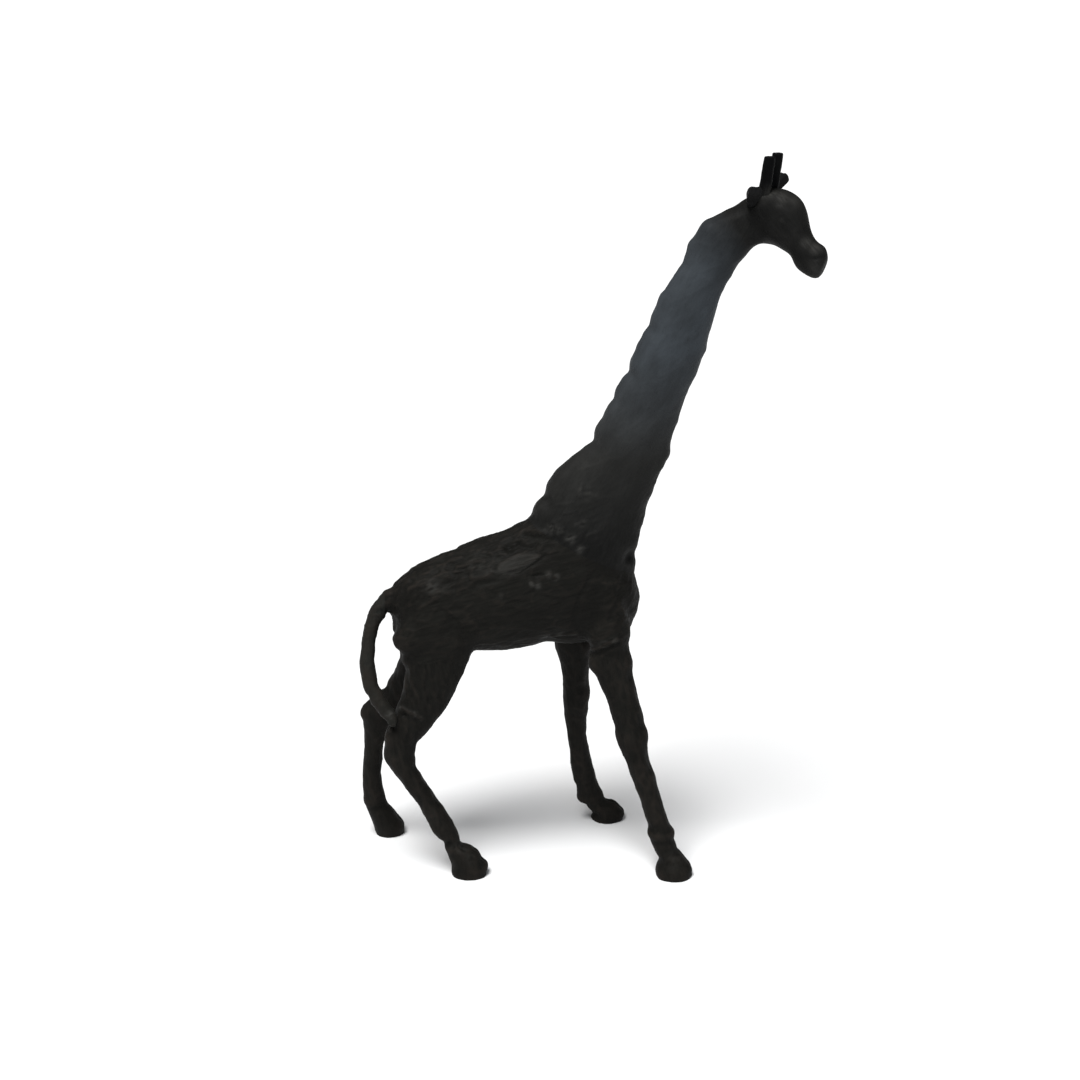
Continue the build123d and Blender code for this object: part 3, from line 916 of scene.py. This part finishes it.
def stained_wood(name, grain, tint=STAIN_TINT, worn=STAIN_WORN, painted_sheen=0.0, gloss=0.05):
    """Near-black stained hardwood with a waxed sheen, its grain running along one way."""
    material = bpy.data.materials.new(name)
    material.use_nodes = True
    nodes, links = material.node_tree.nodes, material.node_tree.links
    shader = nodes["Principled BSDF"]
    place = nodes.new("ShaderNodeTexCoord")

    def noise_at(scale, stretch, detail, soft):
        """Noise with its features drawn out along the grain."""
        turn = nodes.new("ShaderNodeMapping")
        turn.vector_type = "TEXTURE"
        turn.inputs["Rotation"].default_value = Vector(grain).to_track_quat("X", "Z").to_euler()
        turn.inputs["Scale"].default_value = (stretch / scale, 1 / scale, 1 / scale)
        links.new(place.outputs["Object"], turn.inputs["Vector"])
        texture = nodes.new("ShaderNodeTexNoise")
        texture.inputs["Scale"].default_value = 1
        texture.inputs["Detail"].default_value = detail
        texture.inputs["Roughness"].default_value = soft
        links.new(turn.outputs["Vector"], texture.inputs["Vector"])
        return texture.outputs["Fac"]

    def remap(value, low, high, to_low, to_high):
        """Value taken from one range to another."""
        node = nodes.new("ShaderNodeMapRange")
        node.inputs["From Min"].default_value = low
        node.inputs["From Max"].default_value = high
        node.inputs["To Min"].default_value = to_low
        node.inputs["To Max"].default_value = to_high
        links.new(value, node.inputs["Value"])
        return node.outputs["Result"]

    def combine(operation, first, second):
        """Two values added or multiplied."""
        node = nodes.new("ShaderNodeMath")
        node.operation = operation
        links.new(first, node.inputs[0])
        links.new(second, node.inputs[1])
        return node.outputs["Value"]

    def blend(factor, first, second):
        """Mix of two colours."""
        node = nodes.new("ShaderNodeMix")
        node.data_type = "RGBA"
        links.new(factor, node.inputs["Factor"])
        for socket, colour in ((node.inputs["A"], first), (node.inputs["B"], second)):
            if isinstance(colour, tuple):
                socket.default_value = (*colour, 1)
            else:
                links.new(colour, socket)
        return node.outputs["Result"]

    def stored(key):
        """Value kept on the vertices."""
        node = nodes.new("ShaderNodeAttribute")
        node.attribute_name = key
        return node.outputs["Fac"]

    def with_painted_sheen(wood, clouds):
        """Wood under a painted sheen, a pale reflection painted on the neck that fades out at both
        its ends.
        """
        split = nodes.new("ShaderNodeSeparateXYZ")
        links.new(place.outputs["Object"], split.inputs[0])
        up = remap(split.outputs["Z"], *PAINTED_SHEEN_FROM, 0, 1)
        along = nodes.new("ShaderNodeVectorMath")
        along.operation = "DOT_PRODUCT"
        along.inputs[1].default_value = HEAD_JOINT[1]
        links.new(place.outputs["Object"], along.inputs[0])
        down = remap(along.outputs["Value"], *PAINTED_SHEEN_ENDS, 1, 0)
        cloudy = remap(clouds, *PAINTED_SHEEN_CLOUDS, PAINTED_SHEEN_THIN * painted_sheen, painted_sheen)
        sheen_share = combine("MULTIPLY", combine("MULTIPLY", up, down), cloudy)
        cool = remap(split.outputs["Z"], *PAINTED_SHEEN_COOLS, 0, 1)
        return blend(sheen_share, wood, blend(cool, PAINTED_SHEEN_WARM, PAINTED_SHEEN_COOL))

    broad, cloud = noise_at(*BROAD_NOISE), noise_at(*CLOUD_NOISE)
    fibres, pores = noise_at(*FIBRE_NOISE), noise_at(*PORE_NOISE)

    wood = blend(remap(broad, *BROAD_PATCHES), tint, scaled(tint, BROAD_PALER))
    wood = blend(remap(cloud, *CLOUD_PATCHES), wood, scaled(tint, CLOUD_PALER))
    wood = blend(remap(fibres, *FIBRE_STREAKS), wood, scaled(tint, STREAK_DARKER))
    high = remap(stored("ridge"), *RIDGE_WEAR)
    wood = blend(combine("MULTIPLY", high, remap(cloud, *CLOUDY_WEAR)), wood, worn)
    # Painted sheen: pale, cool colour that stands in for a reflection on the neck.
    if painted_sheen:
        wood = with_painted_sheen(wood, cloud)
    # Pale spots: rubbed stain, and painted highlights.
    pale = combine("MULTIPLY", stored("rub"), remap(fibres, *STREAKY_WEAR_AND_HIGHLIGHT))
    wood = blend(pale, wood, PALE_WEAR_AND_HIGHLIGHT)
    links.new(wood, shader.inputs["Base Color"])

    links.new(remap(broad, *ROUGHNESS), shader.inputs["Roughness"])
    shader.inputs["Specular IOR Level"].default_value = gloss

    height = combine("ADD", fibres, remap(pores, *PORE_DEPTH))
    bump = nodes.new("ShaderNodeBump")
    bump.inputs["Strength"].default_value = GRAIN_BUMP
    bump.inputs["Distance"].default_value = GRAIN_HEIGHT
    links.new(height, bump.inputs["Height"])
    links.new(bump.outputs["Normal"], shader.inputs["Normal"])
    return material


def finish_piece(piece, node, grain, **looks):
    """Shade the piece, put it under the root body and hide its CAD node."""
    mesh = piece.data
    mesh.polygons.foreach_set("use_smooth", np.ones(len(mesh.polygons), bool))
    mesh.materials.clear()
    mesh.materials.append(stained_wood(node + "_wood", grain, **looks))
    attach(piece, "root")
    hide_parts(node)


# ---- Horns and ears ----------------------------------------------------------------

# An ear is (root, tip, trim of its lower half). It is squared and trimmed only where it has
# left the head, over these distances from its root.
EARS = {
    "ear_right": ((196.8, -13.8, 853), (193.2, -66, 877), 0.6),
    "ear_left": ((209.8, 8.8, 853), (245.5, 42.5, 873), 0.25),
}
EAR_CORNER = 0.22
EAR_SQUARE_FROM = (16, 26)
EAR_TRIM_FROM = (14, 24)

# Horns and ears: voxel, height of the lumps, direction of the grain.
HORN_WORK = (0.9, 0.5, (0.1, 0, 1))
EAR_WORK = (0.8, 0.3, (0.3, 1, 0.2))
SMALL_ROUNDS = 3
SMALL_BACK = 0.5
SMALL_LUMP = 9
SMALL_FIBRE = 2.4
SMALL_FIBRE_SHARE = 0.5


def square_up(points, root, tip, trim):
    """Make a round ear squarer, and flatter underneath."""
    root, axis = np.array(root, float), np.array(tip, float) - np.array(root, float)
    axis /= np.linalg.norm(axis)
    along = (points - root) @ axis
    centre = root + np.outer(along, axis)
    up = np.array((0, 0, 1.0)) - axis * axis[2]
    up /= np.linalg.norm(up)
    across = np.cross(axis, up)
    u, v = (points - centre) @ across, (points - centre) @ up
    corner = (2 * u * v / np.maximum(u * u + v * v, TINY)) ** 2
    grow = 1 + EAR_CORNER * corner * smooth_step(along, *EAR_SQUARE_FROM)
    v = np.where(v < 0, v * (1 - trim * smooth_step(along, *EAR_TRIM_FROM)), v)
    return centre + np.outer(u * grow, across) + np.outer(v * grow, up)


def carve_small(node, voxel, lump, grain, seed):
    """Carve a horn or an ear from its CAD node."""
    piece = new_object(node + "_carved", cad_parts[node].data.copy())
    voxel_remesh(piece, voxel)
    relax(piece.data, 1.0, SMALL_ROUNDS, back=SMALL_BACK)
    points, normals = get_points(piece.data), get_normals(piece.data)
    if node.startswith("ear"):
        points = square_up(points, *EARS[node])
    shift = lump * lumps(points, SMALL_LUMP, seed)
    fibres = lumps(points, SMALL_FIBRE, seed, grain, FIBRE_STRETCH)
    shift += SMALL_FIBRE_SHARE * lump * fibres
    set_points(piece.data, points + normals * shift[:, None])
    mark_wear_and_highlights(piece.data)
    return piece


# ---- Tail --------------------------------------------------------------------------

# Under the tail's end, the tail is drawn up and back by this share of the distance.
TAIL_END = 224
TAIL_SHORTENING = np.array((-0.45, 0.0, 0.5))

# It grows in two steps as it goes down, and moves forward: (height where it starts, fade).
TAIL_GROWTH = 0.95
TAIL_STEPS = [(350, 20), (300, 40)]
TAIL_SHIFT = 1.0
TAIL_SHIFT_FROM = (310, 40)


def below(points, height, fade):
    """0 above the height and 1 once it is the fade further down."""
    return smooth_step(height - points[:, 2], 0, fade)


def shape_tail(mesh):
    """Swing the tail back to the leg, shorten its end and thicken its lower half."""
    points = get_points(mesh)
    points[:, 1] += tail_swing(points)
    points += np.clip(TAIL_END - points[:, 2], 0, None)[:, None] * TAIL_SHORTENING
    growth = TAIL_GROWTH * sum(below(points, *step) for step in TAIL_STEPS)
    points += get_normals(mesh) * growth[:, None]
    points[:, 0] += TAIL_SHIFT * below(points, *TAIL_SHIFT_FROM)
    set_points(mesh, points)


# ---- Build -------------------------------------------------------------------------

# How much wider than its peg a socket is, all round.
SOCKET_GROWTH = 0.02
DOWEL_CLEARANCE = 0.1

GREY = dict(tint=(0.0062, 0.0062, 0.0058), worn=(0.016, 0.0155, 0.0145))
LOOKS = {
    "torso": ((1, 0, 0.28), {}),
    # The neck gets a painted sheen: a reflection painted into its colour.
    "neck": ((0.45, 0, 0.89), dict(painted_sheen=0.9, **GREY)),
    "head": ((0.6, -0.35, -0.7), GREY),
    # The tail's tint, about twice the stain, is a painted highlight along the tail.
    "tail": ((0, 0, 1), dict(tint=(0.012, 0.0125, 0.011))),
}
LEG_GRAIN = (0.2, 0, -1)
HORN_LOOKS = dict(tint=(0.0028, 0.0028, 0.0031), worn=(0.005, 0.005, 0.005), gloss=0.02)
EAR_LOOKS = dict(tint=(0.0046, 0.0046, 0.0046), worn=(0.011, 0.011, 0.011), gloss=0.03)
DOWEL_LOOKS = dict(tint=(0.26, 0.19, 0.12), worn=(0.5, 0.4, 0.26), gloss=0.3)

make_camera()
make_stage()

skin = make_skin()
carve_skin(skin.data)
level_off(skin.data)
mark_wear_and_highlights(skin.data)
pieces = cut_apart(skin)
shape_tail(pieces["tail"].data)

for side, seed in (("right", 11), ("left", 12)):
    pieces["horn_" + side] = carve_small("horn_" + side, *HORN_WORK, seed)
    pieces["ear_" + side] = carve_small("ear_" + side, *EAR_WORK, seed)
for node in ("horn_right", "horn_left", "ear_right", "ear_left"):
    sink(pieces[node].data, SOCKET_GROWTH, [pieces["head"]])
for dowels, held in DOWELS.items():
    sink(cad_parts[dowels].data, DOWEL_CLEARANCE, [pieces[node] for node in held])

for dowels in DOWELS:
    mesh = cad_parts[dowels].data
    mesh.materials.clear()
    mesh.materials.append(stained_wood(dowels + "_wood", (0, 0, 1), **DOWEL_LOOKS))
for node, (grain, looks) in LOOKS.items():
    finish_piece(pieces[node], node, grain, **looks)
for node in LEG_JOINTS:
    finish_piece(pieces[node], node, LEG_GRAIN)
for side in ("right", "left"):
    finish_piece(pieces["horn_" + side], "horn_" + side, HORN_WORK[2], **HORN_LOOKS)
    finish_piece(pieces["ear_" + side], "ear_" + side, EAR_WORK[2], **EAR_LOOKS)
